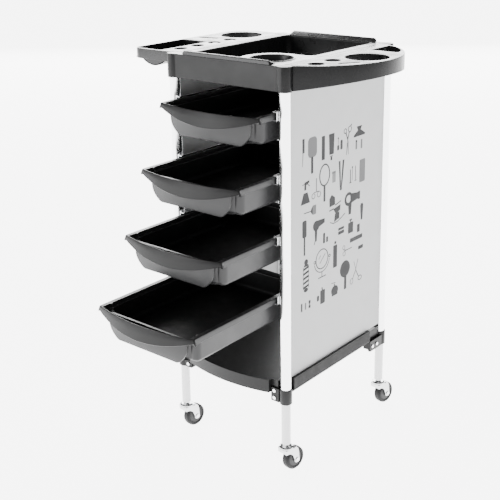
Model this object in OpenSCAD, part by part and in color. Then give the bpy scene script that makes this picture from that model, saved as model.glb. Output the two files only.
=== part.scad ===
// Rolling salon trolley: four sliding drawers between four tube posts, a top tray
// with two holder wings, a bottom shelf and four swivel casters.
// Millimetres, +Z up, drawers open towards -Y. The origin is on the floor, under the
// middle of the bounding box with the drawers as stored.

/* [Frame] */
// Distance between the left and right posts
post_dx = 285.2; // [240:0.2:340]
// Distance between the front and rear posts
post_dy = 356.6; // [300:0.2:420]
// Outside diameter of the upper post tubes
post_d = 22.3; // [18:0.1:28]
// Outside diameter of the lower legs
leg_d = 19.5; // [15:0.1:24]
// Height of the bottom end of the lower legs
leg_z = 67; // [55:0.5:80]
// Side panel thickness
panel_t = 1.5; // [0.8:0.1:4]

/* [Top] */
// Height of the deck of the tray and the wings
deck_z = 860; // [700:1:950]
// Height of the tray's skirt
skirt_h = 49; // [30:1:70]
// Radius of the cup holder in the tray
cup_r = 43; // [30:0.5:48]
// Radius of the large holder hole in the right wing
holder_r = 44; // [30:0.5:46]
// Radius of the large holder hole in the left wing
left_holder_r = 47; // [30:0.5:50]
// Reach of the left wing from the trolley's centre plane
left_x = 268; // [230:1:300]
// Reach of the right wing from the trolley's centre plane
right_x = 266; // [262:1:300]

/* [Drawers] */
// Height of the top drawer's rim
drawer_z = 768.7; // [700:0.1:785]
// Height step from one drawer to the next
drawer_step = 125.3; // [100:0.1:140]
// How far each drawer stands open as stored
drawer_open = [41.5, 101.5, 155, 233.5]; // [0:0.5:260]
// Depth of the drawer body below its rim
drawer_h = 57; // [40:1:62]
// Wall of the drawers, tray and wings
wall = 2.4; // [1.6:0.1:4]

/* [Casters] */
// Wheel diameter
wheel_d = 50; // [40:1:60]
// Tyre width
wheel_w = 18; // [14:1:24]
// Trail of the axle behind the swivel axis
trail = 20; // [14:1:30]
// Angle of the stored casters about their swivel axes
swivel = -8; // [-180:1:180]

/* [Hidden] */
$fn = 64;
px = post_dx / 2;
py = post_dy / 2;
post_r = post_d / 2;
leg_r = leg_d / 2;
skirt_z = deck_z - skirt_h;
tray_x = 134;              // half width of the tray block
tray_y = 188;              // half depth of the tray block
well = [113, 165];         // half width and half depth of the tray's well
pillar_r = 14.5;           // round corners of the tray around the posts
right_r = 181;             // radius of the right wing's edge
lip_y = -216;              // front of a closed drawer's lip
lip_r = 426.9;             // radius of the lip's bow in plan
drawer_w = 119;            // half width of the drawer's body
flange_w = 127;            // half width over the flanges that ride in the runners
drawer_len = 368;          // front of the lip to the rear rim
run_x = px - post_r;       // inner side of the posts, where the runners sit
shift_y = 115.7;           // puts the origin under the middle of the bounding box
cup = [66, -120];          // centre of the tray's cup holder
belly = [-207, 877, 50];   // centre x, centre z and radius of the left wing's trough
front_left = [-px, -py];
front_right = [px, -py];
rear_left = [-px, py];
rear_right = [px, py];
corners = [front_left, front_right, rear_left, rear_right];

// ---- helpers ----

// Rectangle with round corners, from corner a to corner b.
module round_rect(a, b, r) {
    translate([a.x + r, a.y]) square([b.x - a.x - 2 * r, b.y - a.y]);
    translate([a.x, a.y + r]) square([b.x - a.x, b.y - a.y - 2 * r]);
    for (x = [a.x + r, b.x - r], y = [a.y + r, b.y - r])
        translate([x, y]) circle(r);
}

// A box given by its low and high corners.
module box(a, b) {
    translate(a) cube(b - a);
}

// A plan shape lifted from height z0 to z1.
module slab(z0, z1) {
    translate([0, 0, z0]) linear_extrude(z1 - z0) children();
}

// A profile drawn in X and Z, run along Y from y0 to y1.
module along_y(y0, y1) {
    translate([0, y1, 0]) rotate([90, 0, 0]) linear_extrude(y1 - y0) children();
}

// A profile drawn in Y and Z, run along X from x0 to x1.
module along_x(x0, x1) {
    translate([x0, 0, 0]) rotate([90, 0, 90]) linear_extrude(x1 - x0) children();
}

// A tube or rod standing on height z0.
module rod(r, z0, z1) {
    translate([0, 0, z0]) cylinder(r = r, h = z1 - z0);
}

// A slot with round ends between two points.
module slot(a, b, r) {
    len = norm(b - a);
    translate(a) rotate(atan2(b.y - a.y, b.x - a.x)) {
        circle(r);
        translate([0, -r]) square([len, 2 * r]);
        translate([len, 0]) circle(r);
    }
}

// ---- top tray and wings ----

// Platform for the cup holder, in the front right corner of the tray's well.
module platform_plan() {
    intersection() {
        round_rect([-well.x - 1, -well.y - 1], [well.x + 1, well.y + 1], 13);
        union() {
            translate(cup) circle(68);
            translate([cup.x, -170]) square([50, 117]);
        }
    }
}

// Raised rail along the front or rear edge of the tray, sloping in to the well.
module rail() {
    along_x(-112, 112)
        polygon([[tray_y - 0.5, deck_z - 1], [tray_y - 1.5, deck_z + 7],
            [tray_y - 6, deck_z + 8], [tray_y - 9, deck_z + 7], [tray_y - 24, deck_z - 1]]);
}

module top_tray() {
    color([0.16, 0.16, 0.17]) {
        difference() {
            union() {
                difference() {
                    box([-tray_x, -tray_y, skirt_z], [tray_x, tray_y, deck_z]);
                    box([-tray_x + 3, -tray_y + 3, skirt_z - 1],
                        [tray_x - 3, tray_y - 3, deck_z - 3]);
                }
                slab(817, deck_z) round_rect([-well.x - wall, -well.y - wall],
                    [well.x + wall, well.y + wall], 12 + wall);
                for (c = corners) translate(c) rod(pillar_r, skirt_z, deck_z);
                rail();
                mirror([0, 1, 0]) rail();
            }
            slab(817 + wall, deck_z + 9) round_rect([-well.x, -well.y], [well.x, well.y], 12);
            for (c = corners) translate(c) rod(post_r + 0.1, skirt_z - 1, deck_z - 9);
        }
        difference() {
            union() {
                slab(deck_z - 3, deck_z) platform_plan();
                translate(cup) rod(cup_r + 3, 838, deck_z + 1);
            }
            translate(cup) rod(cup_r, 830, 870);
        }
    }
}

// Plan of the right wing: a straight inner side and a round outer edge, inset by d.
module right_plan(d) {
    difference() {
        intersection() {
            translate([right_x - right_r, -3]) circle(right_r - d, $fn = 160);
            translate([tray_x + d, -200]) square([200, 400]);
        }
        for (s = [-1, 1]) translate([px, s * py]) circle(pillar_r + 0.3 + d);
    }
}

// Holes through the right wing's deck.
module right_holes() {
    translate([177, -126]) circle(16);
    translate([177.5, -73]) circle(16);
    translate([211, -3]) circle(holder_r);
    slot([211, -97], [232, -66], 4);
    // rounded three-cornered pocket
    intersection() {
        translate([137, 62]) circle(95);
        translate([166, 80]) square([80, 80]);
    }
}

module right_wing() {
    color([0.13, 0.13, 0.14])
        difference() {
            slab(skirt_z, deck_z) right_plan(0);
            slab(skirt_z - 1, deck_z - 3) right_plan(wall);
            slab(deck_z - 9, deck_z + 9) right_holes();
            // the skirt's lower edge rises towards the tip
            translate([150, 0, skirt_z]) rotate([0, -atan(20 / 118), 0])
                box([-30, -200, -60], [150, 200, 0]);
        }
}

// Plan of the left wing: square at the front, a quarter ellipse at the rear.
module left_plan(d) {
    difference() {
        union() {
            round_rect([-left_x + d, -176 + d], [-tray_x - 40, 40], 22 - d);
            translate([-left_x + d, 0]) square([80, 114]);
            translate([-left_x + 66, 114]) circle(66 - d, $fn = 120);
            translate([-left_x + 66, -176 + d]) square([left_x - 66 - tray_x - d, 356 - 2 * d]);
        }
        for (s = [-1, 1]) translate([-px, s * py]) circle(pillar_r + 0.3 + d);
    }
}

// Holes through the left wing's deck.
module left_holes() {
    for (y = [-128, -76, -22, 30]) translate([-172, y]) circle(14);
    translate([-200, 104]) circle(left_holder_r);
    slot([-250, 22], [-214, 30], 6);
    round_rect([-264, -167], [-192, -24], 6);
}

// The trough and pocket below the left wing's deck; d is the inset of its inside.
module left_pocket(d) {
    intersection() {
        translate([belly.x, -19 - d, belly.y]) rotate([90, 0, 0])
            cylinder(r = belly.z - d, h = 155 - 2 * d, $fn = 120);
        box([-262, -180, 820], [-140, 0, deck_z - 3]);
    }
    slab(839 + d, deck_z - 1) round_rect([-266.4 + d, -169.4 + d], [-189.6 - d, -21.6 - d], 7);
}

module left_wing() {
    color([0.16, 0.16, 0.17])
        difference() {
            union() {
                difference() {
                    slab(839, deck_z) left_plan(0);
                    slab(838, deck_z - 3) left_plan(wall);
                }
                left_pocket(0);
            }
            left_pocket(wall);
            slab(deck_z - 4, deck_z + 9) left_holes();
        }
}

// ---- frame ----

module side_panel(s) {
    color([0.78, 0.79, 0.8])
        box([s > 0 ? 145 : -145 - panel_t, -167, 213.5], [s > 0 ? 145 + panel_t : -145, 167, skirt_z - 0.5]);
}
module left_panel() side_panel(-1);
module right_panel() side_panel(1);

module post(c) {
    color([0.86, 0.87, 0.88]) translate(c)
        difference() {
            rod(post_r, 170.2, deck_z - 9.2);
            rod(leg_r + 0.1, 170, deck_z);
            for (k = [0 : 3]) translate([-c.x, -c.y, 0]) runner_pins(k, sign(c.x), 1.6);
        }
}
module post_front_left() post(front_left);
module post_front_right() post(front_right);
module post_rear_left() post(rear_left);
module post_rear_right() post(rear_right);

// The leg's lower end is solid and takes the caster's stem.
module leg(c) {
    color([0.93, 0.93, 0.94]) translate(c)
        difference() {
            rod(leg_r, leg_z, 215);
            rod(leg_r - 1.3, leg_z + 26, 216);
            rod(4.05, leg_z - 1, leg_z + 18);
        }
}
module leg_front_left() leg(front_left);
module leg_front_right() leg(front_right);
module leg_rear_left() leg(rear_left);
module leg_rear_right() leg(rear_right);

// The two screws in a collar's ear, as shafts of radius r.
module ear_screws(c, r) {
    s = sign(c.x);
    translate(c)
        if (c.y < 0) {
            for (z = [170, 186]) translate([-s * 21, -11.6, z]) rotate([-90, 0, 0]) cylinder(r = r, h = 13);
        } else {
            for (y = [-48, -30]) translate([s * 11.6, y, 172]) rotate([0, -s * 90, 0]) cylinder(r = r, h = 13);
        }
}

// Sleeve joining post, leg and shelf. At the front its ear faces forwards,
// at the rear it runs along the side.
module collar(c) {
    s = sign(c.x);
    color([0.2, 0.2, 0.21])
        difference() {
            translate(c) {
                rod(13, 160.5, 192.4);
                if (c.y < 0) {
                    box([min(-s * 10, -s * 30), -11.5, 162], [max(-s * 10, -s * 30), -7.5, 192]);
                } else {
                    box([min(s * 5, s * 11.5), -56, 160.5], [max(s * 5, s * 11.5), -8, 185.5]);
                }
            }
            translate(c) rod(post_r + 0.1, 170, 200);
            translate(c) rod(leg_r + 0.1, 150, 200);
            ear_screws(c, 2.1);
        }
}
module collar_front_left() collar(front_left);
module collar_front_right() collar(front_right);
module collar_rear_left() collar(rear_left);
module collar_rear_right() collar(rear_right);

// Two round-head screws in the ear of every collar.
module collar_screws() {
    color([0.8, 0.8, 0.82]) for (c = corners) {
        s = sign(c.x);
        ear_screws(c, 2);
        translate(c)
            if (c.y < 0) {
                for (z = [170, 186]) translate([-s * 21, -11.5, z]) rotate([90, 0, 0]) cylinder(r = 4, h = 2);
            } else {
                for (y = [-48, -30]) translate([s * 11.5, y, 172]) rotate([0, s * 90, 0]) cylinder(r = 4, h = 2);
            }
    }
}

// Plan of the shelf: bowed at the front and notched around the collars, inset by d.
module shelf_plan(d) {
    difference() {
        union() {
            translate([-147.2 + d, -167 + d]) square([294.4 - 2 * d, 334 - 2 * d]);
            translate([-128 + d, -185.6 + d]) square([256 - 2 * d, 371.2 - 2 * d]);
            intersection() {
                translate([0, 165.5]) circle(377.5 - d, $fn = 160);
                translate([-111 + d, -220]) square([222 - 2 * d, 60]);
            }
        }
        for (c = corners) translate(c) circle(13.3 + d);
    }
}

module bottom_shelf() {
    color([0.2, 0.2, 0.21])
        difference() {
            union() {
                difference() {
                    slab(180, 208) shelf_plan(0);
                    slab(205, 209) shelf_plan(3);
                    slab(179, 202) shelf_plan(3);
                }
                for (s = [-1, 1]) mirror([s < 0 ? 1 : 0, 0, 0]) {
                    // ribbed band under the side panel
                    box([146, -164, 186], [153, 121, 213]);
                    for (y = [-162 : 4 : 118]) box([152, y, 188], [153.6, y + 2, 211]);
                    // lugs that take the collars' screws
                    box([111, -185.6, 163], [128, -172, 203]);
                    box([134, 124, 163], [147.2, 160, 203]);
                }
            }
            for (c = corners) ear_screws(c, 2.1);
        }
}

// ---- runners and drawers ----

// The screws that hold a runner to its two posts, as shafts of radius r.
module runner_pins(k, s, r) {
    for (y = [-py, py])
        translate([s * (run_x - 1.3), y, drawer_z - k * drawer_step - 6])
            rotate([0, s * 90, 0]) cylinder(r = r, h = 3.5);
}

// C-shaped sheet channel, open towards the drawers. k counts from the top drawer.
module runner(k, s) {
    z0 = drawer_z - k * drawer_step - 14.2;
    color([0.85, 0.86, 0.87])
        difference() {
            mirror([s < 0 ? 1 : 0, 0, 0]) along_y(-189, 189)
                difference() {
                    translate([121.5, z0]) square([run_x - 121.5, 18]);
                    translate([120, z0 + 1.2]) square([run_x - 121.2, 15.6]);
                }
            runner_pins(k, s, 1.6);
        }
}
module runner_1_left() runner(0, -1);
module runner_1_right() runner(0, 1);
module runner_2_left() runner(1, -1);
module runner_2_right() runner(1, 1);
module runner_3_left() runner(2, -1);
module runner_3_right() runner(2, 1);
module runner_4_left() runner(3, -1);
module runner_4_right() runner(3, 1);

// Low-head screws through the runners into the posts.
module runner_screws() {
    color([0.75, 0.75, 0.77])
        for (s = [-1, 1], k = [0 : 3]) {
            runner_pins(k, s, 1.5);
            for (y = [-py, py])
                translate([s * (run_x - 1.2), y, drawer_z - k * drawer_step - 6])
                    rotate([0, -s * 90, 0]) cylinder(r = 3, h = 0.8);
        }
}

// The drawer's outer or inner form, inset by d and running from z0 to z1: a wide body
// behind a narrower front. y = 0 at the lip's middle, z = 0 at the rim.
module basin(d, z0, z1) {
    difference() {
        intersection() {
            slab(z0, z1) {
                round_rect([-drawer_w + d, 35 + d], [drawer_w - d, drawer_len - d], 14 - d);
                round_rect([-104 + d, 24 + d], [104 - d, 80], 4);
            }
            // cuts the lower edges off all round
            along_y(0, 400)
                polygon([[-120, z1], [-120 + d, z0 + 8], [-111 + d, z0],
                    [111 - d, z0], [120 - d, z0 + 8], [120, z1]]);
            along_x(-130, 130)
                polygon([[0, z1], [0, z0], [drawer_len - 7 - d, z0], [drawer_len - d, z0 + 8],
                    [drawer_len, z1]]);
        }
        // and the lower corners of the narrower front
        for (s = [0, 1]) mirror([s, 0, 0]) along_y(-5, 35 + d)
            polygon([[105, -36], [105, z0 - 1], [84 - d, z0 - 1], [104 - d, -36]]);
    }
}

// The space behind the lip's bowed and leaning face and above its smile-shaped lower
// edge, inset by d, up to height top and back to y1. w0 and w1 are the half widths.
module lip_form(d, top, y1, w0, w1) {
    intersection() {
        translate([0, lip_r, -40])
            cylinder(r1 = lip_r + 7.2 - d, r2 = lip_r - 0.18 * top - d, h = 40 + top, $fn = 240);
        along_y(-10, y1) intersection() {
            translate([0, 340]) circle(370 - d, $fn = 240);
            polygon([[-w0, top], [-w1, -13], [-w1, -40], [w1, -40], [w1, -13], [w0, top]]);
        }
    }
}

module drawer(k) {
    color([0.17, 0.17, 0.18])
        translate([0, lip_y - drawer_open[k], drawer_z - k * drawer_step])
            difference() {
                union() {
                    basin(0, -drawer_h, 0);
                    lip_form(0, 0, 27, 126, 132);
                    lip_form(0, 0, 40, 110, 110);
                    // fascia hanging below the body, with its lower corners cut
                    translate([0, 24 + wall, 0]) rotate([90, 0, 0]) linear_extrude(wall)
                        polygon([[-104, -12], [-103, -34], [-100, -43], [-91, -54], [-78, -62],
                            [78, -62], [91, -54], [100, -43], [103, -34], [104, -12]]);
                    // side flanges that ride in the runners, and the rear rim
                    for (s = [0, 1]) mirror([s, 0, 0]) {
                        box([drawer_w - 2, 20, -wall], [flange_w, drawer_len, 0]);
                        box([flange_w - 2, 20, -12.8], [flange_w, drawer_len, 0]);
                    }
                    box([-flange_w, drawer_len - 10, -wall], [flange_w, drawer_len, 0]);
                }
                basin(wall, -drawer_h + wall, 5);
                lip_form(3, 5, 45, drawer_w - wall, drawer_w - wall);
            }
}
module drawer_1() drawer(0);
module drawer_2() drawer(1);
module drawer_3() drawer(2);
module drawer_4() drawer(3);

// ---- casters ----

module at_caster(c) {
    translate(c) rotate(swivel) children();
}

// Fixed part: threaded stem, hex nut, upper race and the spindle with its rivet head.
module stem(c) {
    color([0.8, 0.81, 0.83]) translate(c) {
        rod(4, 51, leg_z + 17);
        translate([0, 0, 61.2]) cylinder(r = 7.5, h = leg_z - 61.2, $fn = 6);
        rod(15, 57, 59.5);
        translate([0, 0, 59.5]) cylinder(r1 = 15, r2 = 11.5, h = 1.7);
        rod(6.5, 50.4, 53.1);
    }
}

// Swivelling part: crown plate and two arms swept back to the axle.
module fork(c) {
    color([0.8, 0.81, 0.83]) at_caster(c)
        difference() {
            union() {
                rod(15, 53.4, 56.7);
                box([-13.2, -9, 53.4], [13.2, 16, 56.7]);
                for (s = [-1, 1]) along_x(s * 12.1 - 1.1, s * 12.1 + 1.1) {
                    polygon([[-10, 56.7], [-10, 47], [1, 44.5], [8, 37], [11.5, 28], [13.5, 22],
                        [26.5, 26], [25.6, 36], [22.8, 50], [17.5, 56.7]]);
                    translate([trail, wheel_d / 2]) circle(7);
                }
                box([-13.2, -11.5, 46], [13.2, -9.3, 56.7]);
            }
            rod(4.05, 50, 60);
            translate([0, trail, wheel_d / 2]) rotate([0, 90, 0])
                cylinder(r = 3.05, h = 40, center = true);
        }
}

module axle(c) {
    color([0.75, 0.76, 0.78]) at_caster(c) translate([0, trail, wheel_d / 2]) rotate([0, 90, 0]) {
        cylinder(r = 3, h = 29, center = true);
        for (s = [-1, 1]) translate([0, 0, s * 14.1]) cylinder(r = 5, h = 1.6, center = true);
    }
}

module wheel(c) {
    color([0.55, 0.56, 0.58]) at_caster(c) translate([0, trail, wheel_d / 2]) rotate([0, 90, 0])
        difference() {
            union() {
                cylinder(r = 17, h = wheel_w - 2, center = true);
                cylinder(r = 7, h = wheel_w + 3, center = true);
            }
            cylinder(r = 3.05, h = 40, center = true);
        }
}

module tyre(c) {
    r = wheel_d / 2;
    w = wheel_w / 2;
    color([0.22, 0.22, 0.23]) at_caster(c) translate([0, trail, r]) rotate([0, 90, 0])
        rotate_extrude()
            polygon([[17, -w + 1], [18, -w], [r - 3, -w], [r - 0.8, -w + 2.2], [r, -w + 5],
                [r, w - 5], [r - 0.8, w - 2.2], [r - 3, w], [18, w], [17, w - 1]]);
}

module stem_front_left() stem(front_left);
module fork_front_left() fork(front_left);
module axle_front_left() axle(front_left);
module wheel_front_left() wheel(front_left);
module tyre_front_left() tyre(front_left);
module stem_front_right() stem(front_right);
module fork_front_right() fork(front_right);
module axle_front_right() axle(front_right);
module wheel_front_right() wheel(front_right);
module tyre_front_right() tyre(front_right);
module stem_rear_left() stem(rear_left);
module fork_rear_left() fork(rear_left);
module axle_rear_left() axle(rear_left);
module wheel_rear_left() wheel(rear_left);
module tyre_rear_left() tyre(rear_left);
module stem_rear_right() stem(rear_right);
module fork_rear_right() fork(rear_right);
module axle_rear_right() axle(rear_right);
module wheel_rear_right() wheel(rear_right);
module tyre_rear_right() tyre(rear_right);

translate([0, shift_y, 0]) {
    top_tray();
    left_wing();
    right_wing();
    left_panel();
    right_panel();
    post_front_left();
    post_front_right();
    post_rear_left();
    post_rear_right();
    leg_front_left();
    leg_front_right();
    leg_rear_left();
    leg_rear_right();
    collar_front_left();
    collar_front_right();
    collar_rear_left();
    collar_rear_right();
    bottom_shelf();
    collar_screws();
    runner_1_left();
    runner_1_right();
    runner_2_left();
    runner_2_right();
    runner_3_left();
    runner_3_right();
    runner_4_left();
    runner_4_right();
    runner_screws();
    drawer_1();
    drawer_2();
    drawer_3();
    drawer_4();
    stem_front_left();
    fork_front_left();
    axle_front_left();
    wheel_front_left();
    tyre_front_left();
    stem_front_right();
    fork_front_right();
    axle_front_right();
    wheel_front_right();
    tyre_front_right();
    stem_rear_left();
    fork_rear_left();
    axle_rear_left();
    wheel_rear_left();
    tyre_rear_left();
    stem_rear_right();
    fork_rear_right();
    axle_rear_right();
    wheel_rear_right();
    tyre_rear_right();
}
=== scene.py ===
import math

import bmesh
import bpy
from mathutils import Matrix, Vector
from mathutils.geometry import tessellate_polygon


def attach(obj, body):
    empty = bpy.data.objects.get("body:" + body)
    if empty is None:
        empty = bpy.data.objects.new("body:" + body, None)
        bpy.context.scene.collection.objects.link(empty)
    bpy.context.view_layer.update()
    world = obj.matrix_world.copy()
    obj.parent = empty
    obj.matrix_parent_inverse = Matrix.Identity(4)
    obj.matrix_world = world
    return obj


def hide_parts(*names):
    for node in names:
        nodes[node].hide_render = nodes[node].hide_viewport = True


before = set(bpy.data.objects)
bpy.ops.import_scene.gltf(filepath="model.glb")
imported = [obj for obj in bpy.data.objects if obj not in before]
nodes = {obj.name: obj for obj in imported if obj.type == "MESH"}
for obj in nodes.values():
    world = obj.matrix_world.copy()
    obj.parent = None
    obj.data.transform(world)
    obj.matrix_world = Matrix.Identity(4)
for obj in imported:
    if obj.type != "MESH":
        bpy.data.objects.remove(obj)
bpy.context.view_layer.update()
scene = bpy.context.scene
MM = 0.001
SHIFT_Y = 0.1157  # the frame's origin lies this far in front of the middle of the posts
CORNERS = {"front_left": (-1, -1), "front_right": (1, -1), "rear_left": (-1, 1), "rear_right": (1, 1)}
PX, PY = 142.6, 178.3  # post centres, mm
DECK_Z = 860.0


# ---------------------------------------------------------------- materials

def material(name, colour, rough, metal=0.0, coat=0.0, grain=0.0, grain_size=900.0, stretch=(1, 1, 1),
             rough_change=0.06, spec=0.5):
    """A surface with fine grain in its roughness and its normals."""
    m = bpy.data.materials.new(name)
    m.use_nodes = True
    tree = m.node_tree
    shader = tree.nodes["Principled BSDF"]
    shader.inputs["Base Color"].default_value = (*colour, 1)
    shader.inputs["Metallic"].default_value = metal
    shader.inputs["Roughness"].default_value = rough
    shader.inputs["Specular IOR Level"].default_value = spec
    shader.inputs["Coat Weight"].default_value = coat
    shader.inputs["Coat Roughness"].default_value = 0.08
    where = tree.nodes.new("ShaderNodeTexCoord")
    mapping = tree.nodes.new("ShaderNodeMapping")
    mapping.inputs["Scale"].default_value = stretch
    tree.links.new(where.outputs["Object"], mapping.inputs["Vector"])
    cloud = tree.nodes.new("ShaderNodeTexNoise")
    cloud.inputs["Scale"].default_value = 38
    cloud.inputs["Detail"].default_value = 4
    tree.links.new(mapping.outputs["Vector"], cloud.inputs["Vector"])
    spread = tree.nodes.new("ShaderNodeMapRange")
    spread.inputs["From Min"].default_value = 0.3
    spread.inputs["From Max"].default_value = 0.7
    spread.inputs["To Min"].default_value = max(rough - rough_change, 0.02)
    spread.inputs["To Max"].default_value = rough + rough_change
    tree.links.new(cloud.outputs["Fac"], spread.inputs["Value"])
    tree.links.new(spread.outputs["Result"], shader.inputs["Roughness"])
    if grain:
        fine = tree.nodes.new("ShaderNodeTexNoise")
        fine.inputs["Scale"].default_value = grain_size
        fine.inputs["Detail"].default_value = 2
        tree.links.new(mapping.outputs["Vector"], fine.inputs["Vector"])
        bump = tree.nodes.new("ShaderNodeBump")
        bump.inputs["Strength"].default_value = grain
        bump.inputs["Distance"].default_value = 0.0004
        tree.links.new(fine.outputs["Fac"], bump.inputs["Height"])
        tree.links.new(bump.outputs["Normal"], shader.inputs["Normal"])
    return m


BLACK = material("black_plastic", (0.012, 0.012, 0.0125), 0.28, grain=0.2, grain_size=1400, spec=0.25)
# A darker, less glossy copy of the black plastic: painted shade for the right wing and the tray's
# right-facing sockets, which face away from the light.
SHADED_BLACK = material("black_plastic_painted_shade", (0.006, 0.006, 0.0062), 0.26, grain=0.2, grain_size=1400, spec=0.1)
DRAWER = material("drawer_plastic", (0.013, 0.013, 0.0135), 0.36, grain=0.2, grain_size=1400, spec=0.23)
# A darker, duller copy of the drawer plastic: painted shade inside the drawers.
INSIDE_SHADE = material("drawer_inside_painted_shade", (0.006, 0.006, 0.0062), 0.5, grain=0.3, grain_size=1400, spec=0.08)
# A darker copy of the plastic: painted shade on the drawers' lips and the tray's skirt; the bottom shelf and
# the collars use it too.
DEEP_BLACK_AND_SHADE = material("deep_black_plastic_and_painted_shade", (0.008, 0.008, 0.0082), 0.34, grain=0.2, grain_size=1400, spec=0.14)
PANEL = material("pale_panel", (0.3, 0.302, 0.305), 0.42, grain=0.08, grain_size=700)
PRINT = material("print_ink", (0.02, 0.02, 0.021), 0.5, grain=0.1, spec=0.08)
PRINT_PALE = material("print_ink_pale", (0.09, 0.09, 0.092), 0.5, grain=0.1, spec=0.08)
POST = material("post_tube", (0.86, 0.865, 0.87), 0.2, metal=1.0, grain=0.05, stretch=(1, 1, 0.04))
LEG = material("leg_tube", (0.62, 0.62, 0.625), 0.22, coat=0.6, grain=0.03)
STEEL = material("runner_metal", (0.74, 0.745, 0.75), 0.24, metal=1.0, grain=0.06, stretch=(1, 0.04, 1))
SCREW = material("zinc_screw", (0.7, 0.7, 0.71), 0.26, metal=1.0, grain=0.05)
CHROME = material("chrome", (0.5, 0.505, 0.51), 0.1, metal=1.0, rough_change=0.03, grain=0.02)
HUB = material("grey_hub", (0.03, 0.03, 0.031), 0.42, grain=0.15, spec=0.15)
RUBBER = material("tyre", (0.012, 0.012, 0.0125), 0.55, grain=0.3, grain_size=1100, spec=0.15)


# ---------------------------------------------------------------- mesh helpers

def piece(name, verts, faces, mat, body, replaces=(), sharp=32, merge=True, others=()):
    """A mesh piece, in millimetres from the middle of the posts. others lists (material, face numbers)."""
    mesh = bpy.data.meshes.new(name)
    mesh.from_pydata([(x * MM, y * MM + SHIFT_Y, z * MM) for x, y, z in verts], [], faces)
    bm = bmesh.new()
    bm.from_mesh(mesh)
    bm.faces.ensure_lookup_table()
    for k, (_, chosen) in enumerate(others):
        for i in chosen:
            bm.faces[i].material_index = k + 1
    if merge:
        bmesh.ops.remove_doubles(bm, verts=bm.verts, dist=2e-6)
    bmesh.ops.recalc_face_normals(bm, faces=bm.faces)
    bm.to_mesh(mesh)
    bm.free()
    mesh.shade_smooth()
    mesh.set_sharp_from_angle(angle=math.radians(sharp))
    mesh.materials.append(mat)
    for other, _ in others:
        mesh.materials.append(other)
    obj = bpy.data.objects.new(name, mesh)
    scene.collection.objects.link(obj)
    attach(obj, body)
    if replaces:
        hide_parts(*replaces)
    return obj


def bevel(obj, width=0.8, segments=3, angle=30):
    """Round edges, added over the mesh."""
    mod = obj.modifiers.new("round", "BEVEL")
    mod.width, mod.segments = width * MM, segments
    mod.limit_method, mod.angle_limit = "ANGLE", math.radians(angle)
    mod.harden_normals = False
    mod.miter_outer = "MITER_ARC"
    return obj


class Build:
    """Collects vertices and faces."""

    def __init__(self):
        self.verts, self.faces = [], []

    def loft(self, rings, closed=True, cap=(True, True)):
        start, n = len(self.verts), len(rings[0])
        for ring in rings:
            self.verts += [tuple(v) for v in ring]
        for r in range(len(rings) - 1):
            for i in range(n if closed else n - 1):
                a, b = start + r * n + i, start + r * n + (i + 1) % n
                self.faces.append((a, b, b + n, a + n))
        if cap[0]:
            self.faces.append(tuple(reversed(range(start, start + n))))
        if cap[1]:
            last = start + (len(rings) - 1) * n
            self.faces.append(tuple(range(last, last + n)))

    def prism(self, outline, to3, low, high):
        """An outline in the plane, from depth low to high; to3(u, v, depth) places it."""
        self.loft([[to3(u, v, low) for u, v in outline], [to3(u, v, high) for u, v in outline]])


# ---------------------------------------------------------------- drawers

LIP_Y, LIP_R, BODY_W, FLANGE_W, LENGTH, DEPTH, WALL = -216.0, 426.9, 119.0, 127.0, 368.0, 57.0, 2.4
OPEN = [41.5, 101.5, 155.0, 233.5]
RIM_Z, STEP_Z = 768.7, 125.3


def bow(x):
    """How far the lip's edge curves back at x."""
    return LIP_R - math.sqrt(LIP_R ** 2 - x * x)


def smile(x):
    """Height of the lip's lower edge at x, measured from the rim."""
    return 340 - math.sqrt(370 ** 2 - x * x)


def mirrored(half):
    """Half an outline and its mirror image, as one loop."""
    return half + [(-x, *rest) for x, *rest in reversed(half[1:-1])]


def body_loop(d):
    """Plan of the drawer's body, inset by d: a wide body behind a narrower front."""
    r = max(14 - d, 2)
    half = [((103.4 - d) * i / 24, 24.2 + d) for i in range(25)]
    half += [(104 - d, 24.8 + d), (104 - d, 30 + d), (104 - d, 34.4 + d), (104.6 - d, 35 + d)]
    turn = [math.pi * i / 16 for i in range(9)]
    half += [(BODY_W - d - r + r * math.sin(a), 35 + d + r - r * math.cos(a)) for a in turn]
    half += [(BODY_W - d, 49 + 38 * i) for i in range(1, 9)]
    half += [(BODY_W - d - r + r * math.cos(a), 367 - d - r + r * math.sin(a)) for a in turn[1:]]
    half += [((BODY_W - d - r) * (1 - i / 6), 367 - d) for i in range(1, 7)]
    return mirrored(half)


def lip_loop():
    """Outer edge of the lip, the flanges and the rear rim, with the height of its lower edge."""
    half = [(126 * i / 24, bow(126 * i / 24), smile(126 * i / 24)) for i in range(25)]
    half += [(126.7, 20.6, -12.6)] + [(FLANGE_W, 20.5 + 28.5 * i / 12, -12.6) for i in range(1, 13)]
    half += [(FLANGE_W, 49 + 38 * i, -12.6) for i in range(1, 9)]
    half += [(120 + 7 * math.cos(math.pi * i / 16), 361 + 7 * math.sin(math.pi * i / 16), -12.6)
             for i in range(1, 9)]
    half += [(120 * (1 - i / 6), 368, -12.6) for i in range(1, 7)]
    return mirrored(half)


def inset(loop, d):
    """The loop moved inwards by about d."""
    out, n = [], len(loop)
    for i in range(n):
        (ax, ay), (bx, by), (cx, cy) = loop[i - 1], loop[i], loop[(i + 1) % n]
        e, f = Vector((bx - ax, by - ay)), Vector((cx - bx, cy - by))
        if e.length > 1e-9:
            e.normalize()
        if f.length > 1e-9:
            f.normalize()
        normal = Vector((-(e.y + f.y), e.x + f.x))
        size = max(normal.length, 0.2)
        grow = min(2 / max(size, 1.3), 1.5)
        normal.normalize()
        out.append((bx + normal.x * d * grow, by + normal.y * d * grow))
    return out


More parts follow.
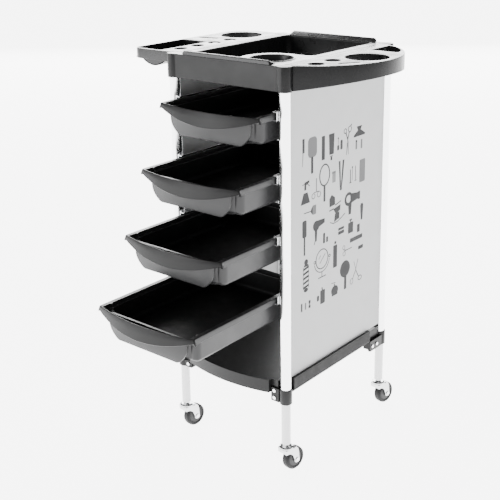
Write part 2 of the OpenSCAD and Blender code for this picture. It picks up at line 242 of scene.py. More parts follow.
def drawer_mesh():
    """A drawer as one skin, with the numbers of its faces inside and on the lip, which get painted shade."""
    edge = lip_loop()
    lip = [(x, y) for x, y, _ in edge]
    low = [z for _, _, z in edge]
    b = Build()
    rings = []

    def ring(plan, depth, lean=0.0):
        out = []
        for (x, y), z in zip(plan, depth):
            y += lean * min(1, max(0, (60 - y) / 45)) * abs(z)
            if y < 34 and z < -36:
                x *= 1 - 0.19 * (-36 - z) / 21  # the front's lower corners are cut
            if y < 24 and z > -20:
                x *= 1 + 0.03 * min(1, -z / 12) * max(0, (abs(x) - 96) / 30)  # the lip's tips flare
            out.append((x, y, z))
        return out

    # floor outside, up the body, round the flange and the lip, and down the inside
    for a in range(5):
        t = math.pi * a / 8
        plan = body_loop(8 * (1 - math.sin(t)) + 0.9)
        rings.append(ring(plan, [-DEPTH + 8 * (1 - math.cos(t))] * len(low)))
    rings.append(ring(body_loop(0), [z - 1.5 for z in low]))
    rings.append(ring(body_loop(-0.6), [z + 0.8 for z in low]))
    lean = -0.18
    rings.append(ring(inset(lip, 2.2), [z + 1.0 for z in low], lean))
    rings.append(ring(inset(lip, 0.8), [z + 0.2 for z in low], lean))
    rings.append(ring(lip, [z + 1.0 for z in low], lean))
    rings.append(ring(lip, [z * 0.5 for z in low], lean))
    rings.append(ring(lip, [-1.2] * len(low), lean))
    rings.append(ring(inset(lip, 0.3), [-0.4] * len(low), lean))
    rings.append(ring(inset(lip, 0.9), [0] * len(low)))
    mouth = []
    for (lx, ly), (bx, by) in zip(inset(lip, 2.6), body_loop(WALL)):
        near = ly < 38
        mouth.append((max(-116.6, min(116.6, lx if near else bx)), ly if near else by))
    rings.append(ring(inset(mouth, -0.7), [0] * len(low)))
    rings.append(ring(inset(mouth, -0.2), [-0.3] * len(low)))
    rings.append(ring(mouth, [-1.0] * len(low)))
    rings.append(ring(mouth, [z + 5 for z in low], lean))
    rings.append(ring(inset(mouth, 2.5), [z + 3 for z in low], lean))
    rings.append(ring(body_loop(WALL - 1), [z + 2.6 for z in low]))
    rings.append(ring(body_loop(WALL), [z + 0.5 for z in low]))
    for a in range(6):
        t = math.pi * a / 10
        plan = body_loop(WALL + 9 * (1 - math.cos(t)))
        rings.append(ring(plan, [-DEPTH + WALL + 9 * (1 - math.sin(t))] * len(low)))
    b.loft(rings)
    n = len(low)
    # faces inside the drawer, for the painted shade of its hollow
    inside = [*range(20 * n, (len(rings) - 1) * n), len(b.faces) - 1]
    # faces on the lip's front, for the painted shade on the lip
    lip = [r * n + i for r in range(6, 14) for i in range(n) if i < 25 or i > n - 26]
    return b, inside, lip


def fascia_mesh(b):
    """The flat plate on the drawer's front, below the lip."""
    outline = [(-103.9, -8), (-103.7, -28), (-102.6, -36), (-99.6, -43), (-94.6, -50), (-88, -56.4),
               (-83, -60), (-78, -61.9)]
    outline += [(-u, v) for u, v in reversed(outline)]
    rows = []
    for y, d in ((21.8, 1.2), (22.1, 0.5), (23.0, 0), (25.6, 0), (26.4, 0.6)):
        rows.append([(u * (1 - d / 104), y, v + (d if v < -50 else 0)) for u, v in outline])
    b.loft(rows)


def floor_ribs(b):
    """Raised marks on the drawer's floor, behind the lip."""
    z = -DEPTH + WALL
    for k in range(7):
        x0 = -66 + 22 * k
        outline = []
        for i in range(20):
            a = 2 * math.pi * i / 20
            outline.append((x0 + 7 * math.cos(a), 70 + 24 * math.sin(a)))
        inner = [(x0 + (u - x0) * 0.72, 70 + (v - 70) * 0.9) for u, v in outline]
        b.loft([[(u, v, z - 0.4) for u, v in outline], [(u, v, z + 0.8) for u, v in outline],
                [(u, v, z + 0.8) for u, v in inner], [(u, v, z - 0.4) for u, v in inner]], cap=(False, False))


def make_drawers():
    base, inside, lip = drawer_mesh()
    fascia_mesh(base)
    floor_ribs(base)
    for k in range(4):
        dy, dz = LIP_Y - OPEN[k], RIM_Z - STEP_Z * k
        verts = [(x, y + dy, z + dz) for x, y, z in base.verts]
        piece(f"drawer_tray_{k + 1}", verts, base.faces, DRAWER, f"drawer_body_{k + 1}",
              # each drawer's inside and lip faces get darker copies of its plastic: painted shade
              [f"drawer_{k + 1}"], sharp=28, others=((INSIDE_SHADE, inside), (DEEP_BLACK_AND_SHADE, lip)))


make_drawers()


# ---------------------------------------------------------------- top tray and wings

SKIRT_Z = 811.0  # lower edge of the tray's skirt, mm
CUP = (66, -120)  # middle of the cup holder, mm
NOTCH_R = 14.8  # notches in the wings, round the tray's corner sockets
SOCKET_OFF = 8.6  # from a post's middle to the plane where tray and wing meet


def arc(cx, cy, r, start, end, n=10):
    """Points along an arc, from one angle to the other in degrees."""
    return [(cx + r * math.cos(math.radians(start + (end - start) * i / n)),
             cy + r * math.sin(math.radians(start + (end - start) * i / n))) for i in range(n + 1)]


def round_loop(points, r, grow=0.0, n=5):
    """A closed outline through the points, anticlockwise, with its corners rounded, then grown outwards."""
    out, count = [], len(points)
    for i in range(count):
        p, a, b = (Vector(points[j]) for j in (i, (i - 1) % count, (i + 1) % count))
        u, v = (a - p).normalized(), (b - p).normalized()
        half = math.acos(max(-1, min(1, u.dot(v)))) / 2
        turn = (p - a).x * (b - p).y - (p - a).y * (b - p).x
        side = 1 if turn > 0 else -1
        centre = p + (u + v).normalized() * (r / math.sin(half))
        size = max(r + side * grow, 0.05)
        first, last = p + u * (r / math.tan(half)) - centre, p + v * (r / math.tan(half)) - centre
        a0, a1 = math.atan2(first.y, first.x), math.atan2(last.y, last.x)
        if side > 0 and a1 < a0:
            a1 += 2 * math.pi
        if side < 0 and a1 > a0:
            a1 -= 2 * math.pi
        for k in range(n + 1):
            a = a0 + (a1 - a0) * k / n
            out.append((centre.x + size * math.cos(a), centre.y + size * math.sin(a)))
    return out


def circle(cx, cy, r, n):
    turns = [2 * math.pi * i / n for i in range(n)]
    return [(cx + r * math.cos(a), cy + r * math.sin(a)) for a in turns]


def circle_hole(cx, cy, r, n=56):
    return lambda d: circle(cx, cy, r + d, n)


def slot_hole(ax, ay, bx, by, r):
    """A slot with round ends, between two centres."""
    a = math.degrees(math.atan2(by - ay, bx - ax))
    return lambda d: arc(ax, ay, r + d, a + 90, a + 270) + arc(bx, by, r + d, a - 90, a + 90)


def deck(b, outer, holes, z, low, thick=3.0, r=1.1, soft=(0.7,)):
    """A moulded deck with round edges: outer(d) is its outline inset by d, each hole(d) a hole grown by d
    with an edge radius from soft, low(x, y) the height of the skirt's lower edge."""
    soft = list(soft) + [soft[-1]] * (len(holes) - len(soft))

    def fill(loops, height, flip):
        flat = [[Vector((x, y, 0)) for x, y in loop] for loop in loops]
        base = len(b.verts)
        b.verts += [(x, y, height) for loop in loops for x, y in loop]
        for tri in tessellate_polygon(flat):
            b.faces.append(tuple(base + i for i in (reversed(tri) if flip else tri)))

    fill([outer(r)] + [h(s) for h, s in zip(holes, soft)], z, False)
    turns = [math.pi * k / 8 for k in range(5)]
    rings = [[(x, y, z - r * (1 - math.cos(t))) for x, y in outer(r * (1 - math.sin(t)))] for t in turns]
    rings += [[(x, y, low(x, y) + 0.5) for x, y in outer(0)], [(x, y, low(x, y)) for x, y in outer(0.5)],
              [(x, y, low(x, y)) for x, y in outer(2)], [(x, y, low(x, y) + 0.5) for x, y in outer(2.4)],
              [(x, y, z - thick) for x, y in outer(2.4)]]
    b.loft(rings, cap=(False, False))
    for h, s in zip(holes, soft):
        rings = [[(x, y, z - s * (1 - math.cos(t))) for x, y in h(s * (1 - math.sin(t)))] for t in turns]
        b.loft(rings + [[(x, y, z - thick) for x, y in h(0)]], cap=(False, False))
    fill([outer(2.4)] + [h(0) for h in holes], z - thick, True)


def revolve(b, cx, cy, profile, n=64):
    """A closed profile of (radius, height) turned about a vertical axis."""
    rings = [[(x, y, z) for x, y in circle(cx, cy, r, n)] for r, z in profile]
    b.loft(rings + [rings[0]], cap=(False, False))


def tray_outline(d):
    """The tray's outline inset by d, with a round socket at each corner."""
    r, out = 14.5 - d, []
    low = -math.degrees(math.acos(-(SOCKET_OFF + d) / r))
    high = math.degrees(math.pi - math.asin((9.7 - d) / r))
    right_rear = arc(PX, PY, r, low, high, 22)
    out += [(x, -y) for x, y in reversed(right_rear)] + right_rear
    out += [(-x, y) for x, y in reversed(right_rear)] + [(-x, -y) for x, y in right_rear]
    return out


def well_outline(d):
    return round_loop([(-113, -165), (113, -165), (113, 165), (-113, 165)], 12, d)


def well_mouth(d):
    """The well's opening: all of it but the platform round the cup holder."""
    end = math.degrees(math.asin(45 / 68))
    out = arc(-101, -153, 12 + d, 180, 270, 6)
    out += arc(*CUP, 68 - d, 180 + end - (2 if d > 0.5 else 0), 90, 22)
    out += arc(97, -36, 16 + d, 270, 360, 6)
    out += arc(101, 153, 12 + d, 0, 90, 6) + arc(-101, 153, 12 + d, 90, 180, 6)
    return out


def rail(b, side):
    """Raised rail along the front or rear edge, with sloping ends."""
    rows = []
    ends = [(-112, 0.0), (-111.4, 0.55), (-110, 0.85), (-107.5, 1)]
    for x, rise in ends + [(-x, rise) for x, rise in reversed(ends)]:
        section = [(186.6, 859), (186.4, 860.2 + 6 * rise), (185.2, 860.3 + 7.3 * rise),
                   (182.5, 860.3 + 7.8 * rise), (179.5, 860.2 + 6.6 * rise), (170, 860.1 + 1.8 * rise),
                   (165.5, 860.02), (165.5, 859)]
        rows.append([(x, side * y, z) for y, z in section])
    b.loft(rows)


def make_tray():
    b = Build()
    deck(b, tray_outline, [well_mouth, circle_hole(*CUP, 43.4, 72)], DECK_Z, lambda x, y: SKIRT_Z,
         soft=(2.6, 0.7))
    # the well's walls and floor
    rings = [[(x, y, z) for x, y in well_outline(d)] for z, d in
             ((857.2, 2.4), (822, 2.4), (817.8, 1.0), (817, -2))]
    b.loft(rings, cap=(False, True))
    rings = [[(x, y, z) for x, y in well_outline(d)] for z, d in
             ((857.2, 0), (824.5, 0), (821.8, -0.9), (820, -2.8), (819.4, -5))]
    b.loft(rings, cap=(False, True))
    # the cup holder's raised ring and its sleeve
    revolve(b, *CUP, [(47.4, 859.6), (46.6, 860.9), (45.2, 861.3), (43.9, 860.9), (43.1, 859.6),
                      (43.1, 838.4), (43.6, 838), (45.2, 838), (45.7, 838.4), (45.7, 857.5)])
    rail(b, 1)
    rail(b, -1)
    # The skirt below the deck gets a darker copy of the plastic, and its right-facing sockets a darker one
    # still: painted shade.
    shaded_skirt, deep_shade_side = [], []
    for i, face in enumerate(b.faces):
        high = [b.verts[k][2] for k in face]
        middle = [sum(b.verts[k][axis] for k in face) / len(face) for axis in (0, 1)]
        if max(high) < DECK_Z - 0.9 and (abs(middle[0]) > 130 or abs(middle[1]) > 184):
            (deep_shade_side if middle[0] > PX + 3 else shaded_skirt).append(i)
    piece("tray", b.verts, b.faces, BLACK, "trolley_frame", ["top_tray"], sharp=35,
          others=((DEEP_BLACK_AND_SHADE, shaded_skirt), (SHADED_BLACK, deep_shade_side)))


def right_outline(d):
    """Round outer edge, straight inner side, notches round the tray's corners."""
    cx, cy, R, n = 85.0, -3.0, 181.0 - d, NOTCH_R + d
    out = []

    def meet(sy):
        # where the edge's circle meets the notch's circle, on the outer side
        lo, hi = 0.0, 180.0
        for _ in range(40):
            mid = (lo + hi) / 2
            x, y = PX + n * math.cos(math.radians(mid)), sy * PY - sy * n * math.sin(math.radians(mid))
            if math.hypot(x - cx, y - cy) > R:
                lo = mid
            else:
                hi = mid
        return hi

    front, rear = meet(-1), meet(1)
    inner = math.degrees(math.acos(-(SOCKET_OFF - d) / n))
    out += [(PX + n * math.cos(math.radians(a)), -PY + n * math.sin(math.radians(a)))
            for a in (inner + (front - inner) * i / 12 for i in range(13))]
    a0 = math.degrees(math.atan2(out[-1][1] - cy, out[-1][0] - cx))
    back = [(PX + n * math.cos(math.radians(a)), PY - n * math.sin(math.radians(a)))
            for a in (rear + (inner - rear) * i / 12 for i in range(13))]
    a1 = math.degrees(math.atan2(back[0][1] - cy, back[0][0] - cx))
    out += arc(cx, cy, R, a0, a1, 70)[1:-1] + back
    return out


def corner_pocket(d):
    """Rounded three-cornered hole: two straight sides and a bowed one."""
    e = 95 + d
    a0 = math.degrees(math.asin((18 - d + 5) / e))
    a1 = math.degrees(math.acos((29 - d + 5) / e))
    right, top = 137 + math.sqrt(90 ** 2 - 23 ** 2), 62 + math.sqrt(90 ** 2 - 34 ** 2)
    return (arc(171, 85, 5 + d, 180, 270, 5) + arc(right, 85, 5 + d, 270, 375, 6)
            + arc(137, 62, e, a0 + 3, a1 - 4, 16) + arc(171, top, 5 + d, 75, 180, 6))


def left_outline(d):
    """Straight edges with a large round corner at the rear, and notches round the tray's corners."""
    n = NOTCH_R + d
    inner = math.degrees(math.acos(-(SOCKET_OFF - d) / n))
    rear = [(-PX - n * math.cos(math.radians(t)), PY - n * math.sin(math.radians(t)))
            for t in (inner - (inner + 6 - d * 4) * i / 14 for i in range(15))]
    rear = [p for p in rear if p[1] < 179.6 - d]
    edge = arc(-202, 114, 66 - d, 90, 180, 24)
    front = arc(-246, -154, 22 - d, 180, 270, 10)
    notch = [(-PX - n * math.cos(math.radians(t)), -PY + n * math.sin(math.radians(t)))
             for t in (12 + d * 3 + (inner - 12 - d * 3) * i / 12 for i in range(13))]
    return rear + edge + front + notch


def make_wings():
    b = Build()
    holes = [circle_hole(177, -126, 16, 36), circle_hole(177.5, -73, 16, 36), circle_hole(211, -3, 44, 72),
             slot_hole(211, -97, 232, -66, 4), corner_pocket]
    deck(b, right_outline, holes, DECK_Z, lambda x, y: SKIRT_Z + max(0.0, x - 150) * 20 / 118)
    # the right wing takes the darker copy of the black plastic: painted shade on the side away from the light
    piece("wing_right", b.verts, b.faces, SHADED_BLACK, "trolley_frame", ["right_wing"], sharp=35)
    b = Build()

    def pocket(d):
        return round_loop([(-264, -167), (-192, -167), (-192, -24), (-264, -24)], 6, d)

    holes = [circle_hole(-172, y, 14, 32) for y in (-128, -76, -22, 30)]
    holes += [circle_hole(-200, 104, 47, 72), slot_hole(-250, 22, -214, 30, 6), pocket]
    deck(b, left_outline, holes, DECK_Z, lambda x, y: 839.0)
    # pocket walls, then the trough that hangs below
    rings = [[(x, y, z) for x, y in pocket(d)] for z, d in ((857.2, 2.4), (839, 2.4), (839, 0), (857.2, 0))]
    b.loft(rings, cap=(False, False))
    strip = [(-265, -168), (-238, -168), (-238, -23), (-265, -23)]
    b.loft([[(x, y, z) for x, y in strip] for z in (839, 841.4)])
    outer, inner = arc(-207, 877, 50, 203.6, 336.4, 28), arc(-207, 877, 47.6, 336.4, 203.6, 28)

    def section(points, y):
        return [(x, y, min(z, 841.2 if x < -190 else 857)) for x, z in points]

    for y0, y1 in ((-174, -171.6), (-21.4, -19)):
        b.loft([section(outer, y0), section(outer, y1)])
    b.loft([section(outer + inner, -174), section(outer + inner, -19)])
    piece("wing_left", b.verts, b.faces, BLACK, "trolley_frame", ["left_wing"], sharp=35)


make_tray()
make_wings()


# ---------------------------------------------------------------- caster forks

def make_forks():
    turn = math.radians(-8)
    arm = [(-11, 56.7), (-11, 47.6)] + arc(-7.5, 27.5, 18.8, 100, 8, 12) + arc(19.7, 25, 7, 155, 375, 14)
    arm += [(25.6, 36), (25, 43), (22.8, 50), (17.5, 56.7)]
    crown = arc(0, 0, 15, 205, 335, 14) + [(13.2, 10)] + arc(10.2, 13, 3, 0, 90, 4)
    crown += arc(-10.2, 13, 3, 90, 180, 4) + [(-13.2, 10)]
    bridge = [(-12.6, 46.4), (12.6, 46.4), (13.1, 56), (-13.1, 56)]
    for name, (sx, sy) in CORNERS.items():
        def place(x, y, z):
            return (sx * PX + x * math.cos(turn) - y * math.sin(turn),
                    sy * PY + x * math.sin(turn) + y * math.cos(turn), z)
        b = Build()
        for side in (-1, 1):
            b.prism(arm, lambda u, v, depth: place(depth, u, v), side * 12.1 - 1.1, side * 12.1 + 1.1)
        b.prism(crown, lambda u, v, depth: place(u, v, depth), 53.4, 56.7)
        b.prism(bridge, lambda u, v, depth: place(u, depth, v), -11.4, -9.3)
        obj = piece(f"caster_fork_{name}", b.verts, b.faces, CHROME, f"swivel_{name}",
                    [f"fork_{name}"])
        bevel(obj, 0.6, 2, 40)


make_forks()


# ---------------------------------------------------------------- printed tool shapes on the right panel

PRINT_X = 146.5  # outer face of the panel, mm
PRINT_SUNK, PRINT_PROUD, PRINT_STEP = 0.05, 0.14, 0.0002  # depth below and height above that face, mm
PRINT_CORNER = (-150.0, 800.0)  # y and z of the drawing's corner, mm


class Ink(Build):
    """Flat shapes on the panel, a little proud of it: u mm to the rear and v mm down from the corner."""

    def shape(self, outline):
        def place(u, v, depth):
            return (depth, PRINT_CORNER[0] + u, PRINT_CORNER[1] - v)
        # the height changes from shape to shape, so that overlapping ones don't share a plane
        rise = PRINT_PROUD + PRINT_STEP * (len(self.faces) % 400)
        self.prism(outline, place, PRINT_X - PRINT_SUNK, PRINT_X + rise)

    def bar(self, u0, v0, u1, v1, r=1.1):
        """A rectangle with round corners."""
        r = min(r, (u1 - u0) / 2 - 0.01, (v1 - v0) / 2 - 0.01)
        out = []
        for cu, cv, start in ((u1 - r, v1 - r, 0), (u0 + r, v1 - r, 90), (u0 + r, v0 + r, 180),
                              (u1 - r, v0 + r, 270)):
            for k in range(6):
                a = math.radians(start + 18 * k)
                out.append((cu + r * math.cos(a), cv + r * math.sin(a)))
        self.shape(out)

    def blob(self, u, v, ru, rv=None, sides=36):
        rv = rv or ru
        self.shape([(u + ru * math.cos(2 * math.pi * k / sides), v + rv * math.sin(2 * math.pi * k / sides))
                    for k in range(sides)])

    def line(self, points, w):
        """A stroke with round ends and joints."""
        for (u0, v0), (u1, v1) in zip(points, points[1:]):
            a = math.atan2(v1 - v0, u1 - u0)
            out = [(u1 + w / 2 * math.cos(a + t), v1 + w / 2 * math.sin(a + t))
                   for t in (math.radians(-90 + 30 * k) for k in range(7))]
            out += [(u0 + w / 2 * math.cos(a + t), v0 + w / 2 * math.sin(a + t))
                    for t in (math.radians(90 + 30 * k) for k in range(7))]
            self.shape(out)

    def ring(self, u, v, ru, w, rv=None, start=0, end=360):
        rv = rv or ru
        n = 40
        for k in range(n):
            a, c = (math.radians(start + (end - start) * (k + j) / n) for j in (0, 1.02))
            self.shape([(u + (ru - w / 2) * math.cos(a), v + (rv - w / 2) * math.sin(a)),
                        (u + (ru + w / 2) * math.cos(a), v + (rv + w / 2) * math.sin(a)),
                        (u + (ru + w / 2) * math.cos(c), v + (rv + w / 2) * math.sin(c)),
                        (u + (ru - w / 2) * math.cos(c), v + (rv - w / 2) * math.sin(c))])


def draw_tools():
    ink, pale = Ink(), Ink()
    # first row: tail comb, paddle brush, two combs, bottles, open scissors, claw clip
    ink.bar(22.2, 90.3, 29.2, 118.9, 0.8)
    pale.shape([(22.8, 118.9), (25.6, 118.9), (23.3, 146.1), (21.7, 146.1)])
    pale.bar(40.6, 91.7, 70.6, 133.3, 9.4)
    ink.bar(50.8, 131.7, 58.3, 166.7, 2.8)
    ink.bar(86.9, 97.2, 97.8, 146.7, 0.8)
    ink.shape([(111.7, 97.8), (131.1, 97.8), (129.2, 141.1), (113.6, 141.1)])
    ink.bar(117.8, 146.1, 123.9, 153.3, 0.8)
    pale.bar(116.1, 143.3, 125.6, 146.1, 0.6)
    ink.blob(145.3, 112.5, 2.2)
    ink.line([(145.3, 113.9), (144.7, 127.8)], 1.1)
    ink.bar(141.4, 127.2, 148.1, 137.5, 1.1)
    ink.bar(152.8, 117.8, 160.6, 138.3, 3.1)
    ink.ring(170, 102.2, 4.7, 1.7)
    ink.ring(186.7, 100.6, 5.6, 1.7, rv=6.1)
    ink.line([(172.8, 107.2), (179.4, 122.2), (180.6, 130.6)], 2.5)
    ink.line([(184.4, 106.7), (179.4, 121.1)], 2.5)
    ink.line([(190, 94.4), (192.8, 91.7)], 1.9)
    pale.shape([(176.7, 128.3), (181.7, 128.3), (176.1, 154.4), (174.4, 154.4)])
    pale.shape([(180, 130.6), (181.7, 129.4), (183.9, 154.4), (182.2, 154.4)])
    ink.shape([(212.2, 100.6), (232.2, 100.6), (227.2, 109.4), (217.2, 109.4)])
    ink.shape([(217.2, 108.9), (227.2, 108.9), (244.4, 118.9), (243.3, 122.2), (202.2, 122.2),
               (201.1, 118.9)])
    pale.bar(208.9, 130, 214.7, 149.4, 1.7)
    ink.bar(208.9, 129.4, 214.7, 133.9, 1.4)
    pale.bar(228.6, 130.6, 234.4, 151.1, 2.2)
    ink.bar(228.6, 145.6, 234.4, 151.1, 1.7)
    # second row: spray bottle, scissors, hand mirror, small comb, straightener, pins, comb
    ink.shape([(26.1, 201.7), (39.4, 201.7), (47.8, 224.4), (16.7, 224.4)])
    ink.bar(28.9, 185.6, 35, 196.1, 0.8)
    ink.shape([(28.9, 180), (44.4, 177.8), (45.6, 182.2), (36.7, 185.6), (29.4, 186.7)])
    ink.line([(22.2, 183.9), (28.9, 183.3)], 1.4)
    ink.line([(38.9, 184.4), (46.1, 190)], 1.9)
    pale.line([(69.4, 180.6), (69.4, 206.1)], 2.8)
    ink.line([(61.7, 208.3), (77.2, 208.3)], 1.4)
    pale.ring(59.4, 215, 5.3, 1.7)
    pale.ring(78.3, 215, 5.8, 1.7)
    ink.ring(97.8, 179.4, 17.2, 3.1, rv=22.2)
    ink.bar(94.2, 202.2, 100.6, 236.1, 2.5)
    for k in range(4):
        pale.bar(125.3 + 3.06 * k, 180, 127.2 + 3.06 * k, 202.8, 0.6)
    pale.bar(123.9, 178.9, 136.7, 183.9, 0.8)
    ink.shape([(147.5, 161.7), (153.3, 161.7), (156.1, 219.4), (152.2, 219.4)])
    ink.shape([(161.7, 161.7), (167.8, 161.7), (162.2, 206.1), (159.4, 220), (156.1, 220)])
    ink.blob(156.4, 222.2, 3.9)
    ink.line([(191.4, 190), (191.1, 216.7)], 2.5)
    pale.line([(198.6, 185.6), (197.8, 213.9)], 1.7)
    ink.blob(198.6, 185.6, 2.2)
    pale.line([(209.7, 185.6), (211.4, 215)], 2.5)
    ink.line([(187.8, 217.8), (195, 217.8)], 1.7)
    pale.line([(207.2, 217.2), (215, 217.2)], 1.4)
    pale.bar(225.6, 175.6, 246.7, 225.6, 3.3)
    ink.bar(225.6, 175.6, 232.2, 225.6, 2.2)
    ink.line([(227.2, 176.7), (245, 176.7)], 1.7)
    ink.line([(227.2, 224.4), (245, 224.4)], 1.7)
    # third row: tint brush, clipper with its comb, large dryer
    ink.line([(28.3, 243.6), (52.2, 244.7)], 1.9)
    ink.shape([(51.1, 241.1), (56.7, 235.6), (56.7, 253.3), (51.1, 247.8)])
    pale.bar(56.7, 234.2, 68.6, 253.9, 0.8)
    ink.shape([(115, 236.1), (123.3, 227.8), (135, 235.6), (135.8, 251.4), (115.8, 253.3)])
    ink.line([(136.7, 253.3), (156.7, 248.9)], 2.2)
    ink.line([(116.1, 261.1), (130.6, 260)], 2.5)
    ink.shape([(129.4, 260.6), (155.6, 256.1), (154.4, 267.8), (138.9, 273.3)])
    ink.shape([(135.6, 272.2), (151.7, 270.6), (151.4, 285), (132.8, 289.4)])
    ink.line([(118.9, 287.2), (130.6, 292.2), (144.4, 291.1), (159.7, 286.1), (172.8, 280.6)], 1.7)
    ink.ring(185.6, 252.5, 11.7, 6.7)
    ink.shape([(191.7, 241.7), (218.3, 245.6), (224.4, 243.9), (229.2, 244.4), (229.2, 261.7),
               (223.9, 262.2), (218.3, 260), (192.8, 264.4)])
    ink.shape([(184.4, 263.3), (197.8, 262.2), (195, 287.8), (186.1, 287.8)])
    # fourth row: round brush, small dryer, lipsticks, boxes, scent bottle, razor, tub
    ink.bar(22.2, 258.9, 36.4, 295, 3.9)
    ink.bar(26.9, 294.4, 31.9, 333.3, 1.7)
    ink.blob(69.4, 280.6, 11.1)
    ink.shape([(69.4, 270), (98.9, 271.7), (98.9, 280.6), (75, 286.1)])
    ink.shape([(64.4, 289.4), (73.3, 289.4), (71.1, 313.9), (65.6, 313.9)])
    ink.line([(65.6, 313.3), (62.8, 318.9)], 2.2)
    ink.bar(93.9, 303.6, 100.6, 326.1, 2.2)
    ink.bar(104.7, 314.4, 111.1, 326.1, 1.4)
    ink.bar(148.3, 307.8, 170, 313.3, 1.1)
    ink.bar(148.3, 315.6, 170, 322.8, 1.1)
    ink.bar(185.3, 306.7, 204.4, 330.6, 1.7)
    ink.line([(195, 302.8), (195, 307.2)], 3.3)
    ink.bar(190, 299.4, 200, 302.8, 1.1)
    ink.shape([(230.6, 277.8), (242.8, 277.8), (240, 311.7), (233.9, 311.7)])
    ink.bar(232.2, 274.4, 241.1, 278.9, 1.1)
    ink.bar(219.7, 318.9, 230.3, 336.9, 1.1)
    # fifth row: barber's pole, standing mirror, tall bottle, small scissors, combs
    ink.blob(35, 348.9, 6.4)
    ink.bar(27.8, 353.9, 42.2, 358.3, 1.1)
    for k in range(5):
        v = 361.1 + 10 * k
        ink.shape([(25.6, v), (43.9, v - 3.3), (43.9, v + 1.7), (25.6, v + 5)])
    ink.line([(25.3, 358.3), (25.3, 406.1)], 1.1)
    ink.line([(44.2, 356.7), (44.2, 406.1)], 1.1)
    ink.blob(34.7, 409.4, 7.2, 4.4)
    ink.ring(90.3, 358.3, 21.1, 2.2)
    ink.ring(90.3, 360, 26.7, 1.7, start=10, end=170)
    ink.ring(65, 359.4, 2.8, 1.7)
    ink.ring(117.2, 358.9, 2.8, 1.7)
    pale.line([(79.4, 355.6), (85.6, 350)], 1.7)
    pale.line([(83.3, 366.1), (101.1, 350)], 1.9)
    ink.line([(90.3, 386.7), (90.3, 397.2)], 2.2)
    ink.line([(77.8, 398.3), (103.9, 398.3)], 2.2)
    ink.bar(130.6, 341.7, 145, 391.7, 1.9)
    ink.bar(134.7, 333.3, 141.4, 339.4, 1.9)
    pale.ring(170, 357.2, 4.2, 1.4)
    pale.ring(171.7, 371.7, 4.7, 1.4)
    ink.line([(170, 362.2), (177.8, 365.6), (200.6, 365.3)], 1.7)
    ink.line([(172.8, 367.2), (178.3, 364.4)], 1.7)
    ink.bar(193.3, 343.9, 240.6, 353.3, 1.1)
    ink.bar(225.6, 370, 244.4, 378.1, 1.7)
    # last row: lipsticks, bottles, scent bottle, oval brush, scissors
    ink.bar(17.8, 435, 22.5, 453.1, 1.1)
    pale.bar(31.1, 437.2, 35.6, 452.5, 1.1)
    ink.bar(43.9, 436.1, 50.6, 442.8, 1.1)
    pale.bar(45, 442.2, 49.4, 447.8, 0.6)
    ink.bar(43.9, 447.2, 50.6, 453.3, 1.1)
    ink.bar(73.3, 436.7, 80.6, 448.9, 2.2)
    ink.bar(85, 428.3, 101.7, 458.9, 2.2)
    ink.line([(91.1, 423.3), (92.2, 428.9)], 3.6)
    ink.blob(137.5, 444.4, 12.8, 11.1)
    ink.bar(126.7, 445.6, 148.3, 455.6, 2.2)
    ink.line([(136.1, 430), (136.7, 435)], 3.3)
    ink.line([(125.6, 425), (140, 427.2)], 1.4)
    ink.blob(175.6, 407.2, 18.9)
    ink.bar(172.8, 424.4, 181.4, 454.4, 1.7)
    pale.line([(210, 401.7), (219.4, 425)], 1.4)
    pale.line([(225.6, 400), (216.1, 425)], 1.7)
    ink.line([(217.2, 423.3), (206.1, 439.4)], 1.9)
    ink.line([(217.8, 423.3), (228.9, 441.7)], 1.9)
    pale.ring(201.7, 445, 5.3, 1.4, rv=6.1)
    ink.ring(233.9, 445.6, 6.7, 1.7, rv=5)
    for name, art, mat in (("panel_print", ink, PRINT), ("panel_print_pale", pale, PRINT_PALE)):
        piece(name, art.verts, art.faces, mat, "trolley_frame", merge=False)


draw_tools()


# ---------------------------------------------------------------- looks of the CAD nodes

# the right wing takes the painted-shade copy of the black plastic; the shelf and collars take the deeper
# black
LOOK = {"top_tray": BLACK, "left_wing": BLACK, "right_wing": SHADED_BLACK, "bottom_shelf": DEEP_BLACK_AND_SHADE, "collar": DEEP_BLACK_AND_SHADE,
        "left_panel": PANEL, "right_panel": PANEL, "post": POST, "leg": LEG, "runner": STEEL,
        "runner_screws": SCREW, "collar_screws": SCREW, "stem": CHROME, "fork": CHROME, "axle": SCREW,
        "wheel": HUB, "tyre": RUBBER, "drawer": DRAWER}
ROUND = {"collar": 0.8, "runner": 0.25,
         "left_panel": 0.4, "right_panel": 0.4, "stem": 0.3, "fork": 0.5, "axle": 0.5,
         "wheel": 0.6, "runner_screws": 0.25, "collar_screws": 0.6}
for name, obj in nodes.items():
    key = name if name in LOOK else name.split("_")[0]
    if obj.material_slots:
        for s in obj.material_slots:
            s.material = LOOK[key]
    else:
        obj.data.materials.append(LOOK[key])
    if key in ROUND:
        weld = obj.modifiers.new("weld", "WELD")
        weld.merge_threshold = 2e-6
        flat = obj.modifiers.new("flat faces", "DECIMATE")
        flat.decimate_type, flat.angle_limit = "DISSOLVE", math.radians(0.6)
        bevel(obj, ROUND[key])


# ---------------------------------------------------------------- floor, camera and light

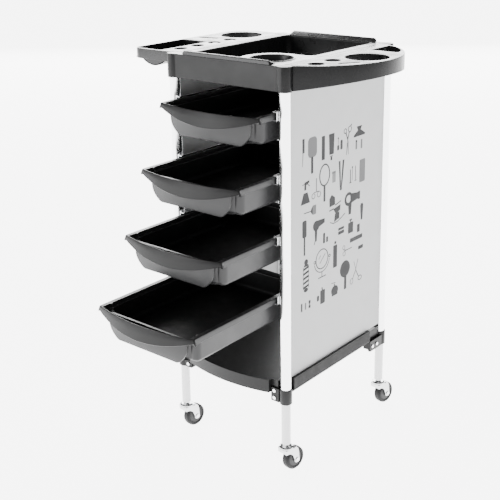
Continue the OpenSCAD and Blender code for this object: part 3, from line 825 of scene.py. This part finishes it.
def emitting_floor():
    """A white floor that gives off light, wide enough to fill the view."""
    n = 96
    radius = 45  # metres
    verts = [(0, SHIFT_Y, 0)] + [(x, y, 0) for x, y in circle(0, SHIFT_Y, radius, n)]
    mesh = bpy.data.meshes.new("floor")
    mesh.from_pydata(verts, [], [(0, k + 1, (k + 1) % n + 1) for k in range(n)])
    m = bpy.data.materials.new("floor_white")
    m.use_nodes = True
    shader = m.node_tree.nodes["Principled BSDF"]
    shader.inputs["Base Color"].default_value = (0.5, 0.5, 0.5, 1)
    shader.inputs["Specular IOR Level"].default_value = 0.0
    shader.inputs["Roughness"].default_value = 0.9
    shader.inputs["Emission Color"].default_value = (1, 1, 1, 1)
    shader.inputs["Emission Strength"].default_value = 6.5
    mesh.materials.append(m)
    floor = bpy.data.objects.new("floor", mesh)
    scene.collection.objects.link(floor)


CAMERA_AT = (1.2238, -1.5760 + SHIFT_Y, 1.1583)
AZIMUTH, ELEVATION, ROLL = 39.77, 16.06, -0.81  # degrees
LENS, SENSOR = 68.88, 36.0  # mm


def make_camera():
    az, el, ro = (math.radians(v) for v in (AZIMUTH, ELEVATION, ROLL))
    ahead = Vector((-math.sin(az) * math.cos(el), math.cos(az) * math.cos(el), -math.sin(el)))
    right = Vector((math.cos(az), math.sin(az), 0))
    up = right.cross(ahead)
    image_right = math.cos(ro) * right + math.sin(ro) * up
    image_up = math.cos(ro) * up - math.sin(ro) * right
    data = bpy.data.cameras.new("camera")
    data.lens, data.sensor_width = LENS, SENSOR
    data.shift_x, data.shift_y = -0.0044, -0.150
    data.clip_start, data.clip_end = 0.05, 60
    cam = bpy.data.objects.new("camera", data)
    rows = [list(v) for v in zip(image_right, image_up, -ahead, CAMERA_AT)]
    cam.matrix_world = Matrix(rows + [[0, 0, 0, 1]])
    scene.collection.objects.link(cam)
    scene.camera = cam


def make_area(name, at, aim, size, power, size_y=None):
    data = bpy.data.lights.new(name, "AREA")
    data.energy, data.size = power, size
    if size_y:
        data.shape, data.size_y = "RECTANGLE", size_y
    lamp = bpy.data.objects.new(name, data)
    lamp.location = at
    lamp.rotation_mode = "QUATERNION"
    lamp.rotation_quaternion = (Vector(aim) - Vector(at)).to_track_quat("-Z", "Y")
    scene.collection.objects.link(lamp)


emitting_floor()
make_camera()
make_area("behind", (-3.4, 4.4, 2.0), (0, 0, 0.8), 6.0, 700, 3.0)
make_area("front", (-1.6, -2.6, 1.3), (0, 0, 0.5), 1.5, 60)

world = bpy.data.worlds.new("studio")
world.use_nodes = True
world.node_tree.nodes["Background"].inputs["Color"].default_value = (1, 1, 1, 1)
world.node_tree.nodes["Background"].inputs["Strength"].default_value = 0.5
scene.world = world
